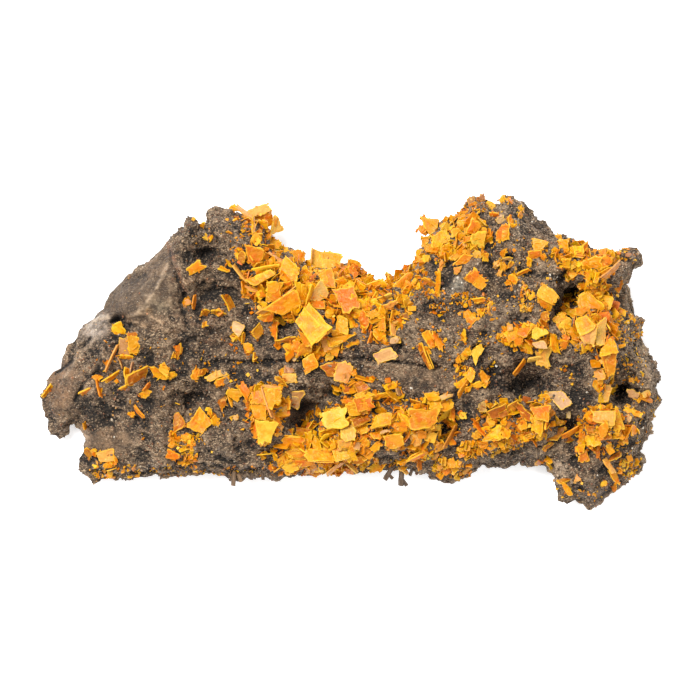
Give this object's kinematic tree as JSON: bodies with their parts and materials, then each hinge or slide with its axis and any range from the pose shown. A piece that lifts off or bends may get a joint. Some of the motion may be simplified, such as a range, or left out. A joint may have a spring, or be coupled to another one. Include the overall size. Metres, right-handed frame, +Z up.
{
  "type": "mineral specimen",
  "caption": "Hand specimen of thin square golden-orange crystal tablets grown in groups over an irregular dark rock matrix, lying on its flat back.",
  "frame": {"origin": "on the surface that the specimen lies on, under the middle of its bounding box", "axes": "+X along the specimen's longest extent, +Y across it towards the edge with the large bay, +Z up out of the crystal-covered side"},
  "size_m": [0.1122, 0.0569, 0.0244],
  "materials": {
    "rock": "rough, dull",
    "crystal_golden": "glassy, translucent",
    "crystal_orange": "glassy, translucent",
    "crystal_amber": "glassy, translucent",
    "crystal_peach": "waxy, translucent",
    "crystal_pale": "waxy, translucent"
  },
  "bodies": {
    "root": {"rock_matrix": "rock", "crystals_left_hollow": "crystal_golden", "crystals_left_blades": "crystal_amber", "crystals_left_leaf": "crystal_orange", "crystals_foot_left": "crystal_peach", "crystals_lower_pair": "crystal_orange", "crystals_cream_bar": "crystal_peach", "crystals_hollow_shell": "crystal_golden", "crystals_dark_kite": "crystal_amber", "crystals_peak": "crystal_peach", "crystals_upper_left_stack": "crystal_orange", "crystals_upper_left_fan": "crystal_golden", "crystals_pink_flake": "crystal_pale", "crystals_hanging_leaves": "crystal_golden", "crystals_tall_kite": "crystal_golden", "crystals_round_leaf": "crystal_golden", "crystals_top_pale": "crystal_pale", "crystals_centre_tangle": "crystal_orange", "crystals_long_golden": "crystal_golden", "crystals_window_plate": "crystal_pale", "crystals_pink_flat": "crystal_pale", "crystals_paired_orange": "crystal_orange", "crystals_left_stack": "crystal_golden", "crystals_tan_window": "crystal_peach", "crystals_ragged_golden": "crystal_orange", "crystals_lower_mass": "crystal_amber", "crystals_triangle_wedge": "crystal_amber", "crystals_disc_stack": "crystal_orange", "crystals_facing_pair": "crystal_golden", "crystals_wide_golden": "crystal_orange", "crystals_crest": "crystal_peach", "crystals_lone_tablet": "crystal_orange", "crystals_square_orange": "crystal_orange", "crystals_corner_curl": "crystal_pale", "crystals_pale_tablet": "crystal_pale", "crystals_north_east": "crystal_golden", "crystals_corner_wedge": "crystal_orange", "crystals_rosette": "crystal_pale", "crystals_star_cluster": "crystal_golden", "crystals_dark_square": "crystal_orange", "crystals_pale_leaf": "crystal_pale", "crystals_flower": "crystal_golden", "crystals_dark_wing": "crystal_amber", "crystals_low_triangles": "crystal_golden", "crystals_low_right_fans": "crystal_amber", "crystals_pink_tablet": "crystal_pale", "crystals_east_cluster": "crystal_peach"}
  },
  "joints": []
}
